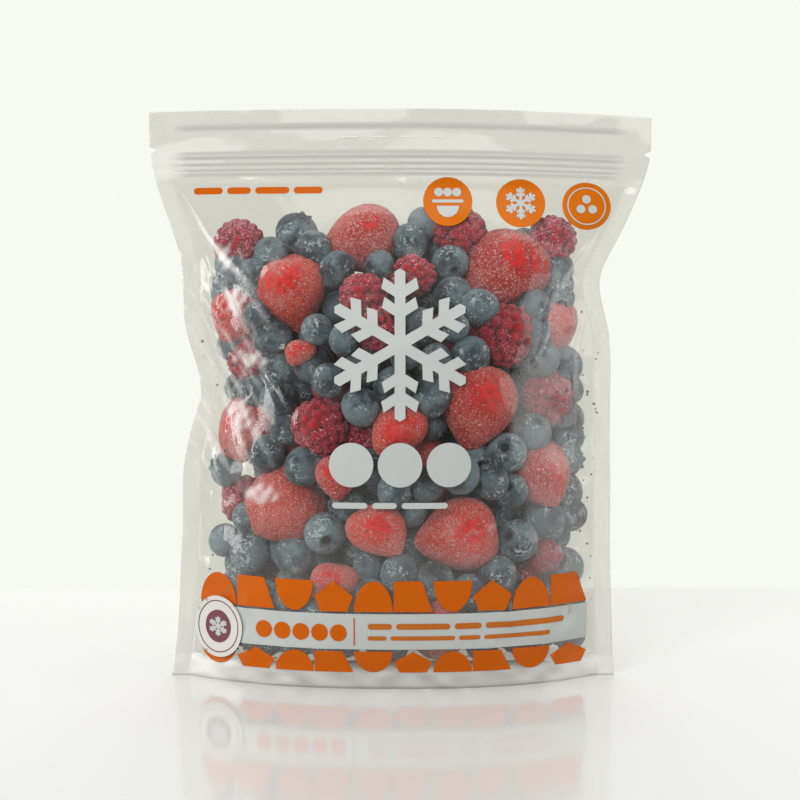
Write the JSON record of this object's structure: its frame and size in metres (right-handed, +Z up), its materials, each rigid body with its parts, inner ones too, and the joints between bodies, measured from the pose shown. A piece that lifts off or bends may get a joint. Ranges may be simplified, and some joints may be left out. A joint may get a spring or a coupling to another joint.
{
  "type": "frozen fruit bag",
  "caption": "Clear stand-up pouch of frozen berries, with a flat zip header, welded side seals, crowned faces and an opened bottom gusset.",
  "frame": {"origin": "on the floor, at the middle of the standing pouch's base", "axes": "+Z up along the pouch's height, +X across its width to the right as seen from the front, +Y towards its back; the printed front faces -Y"},
  "size_m": [0.19, 0.0766, 0.216],
  "materials": {
    "film": "clear, glossy, slightly hazy film",
    "print_orange": "opaque orange ink under a glossy film",
    "print_white": "opaque white ink under a glossy film",
    "strawberry": "frosted red fruit",
    "raspberry": "frosted crimson fruit",
    "blueberry": "frosted blue fruit with a pale bloom"
  },
  "bodies": {
    "root": {"pouch": "film"}
  },
  "joints": []
}
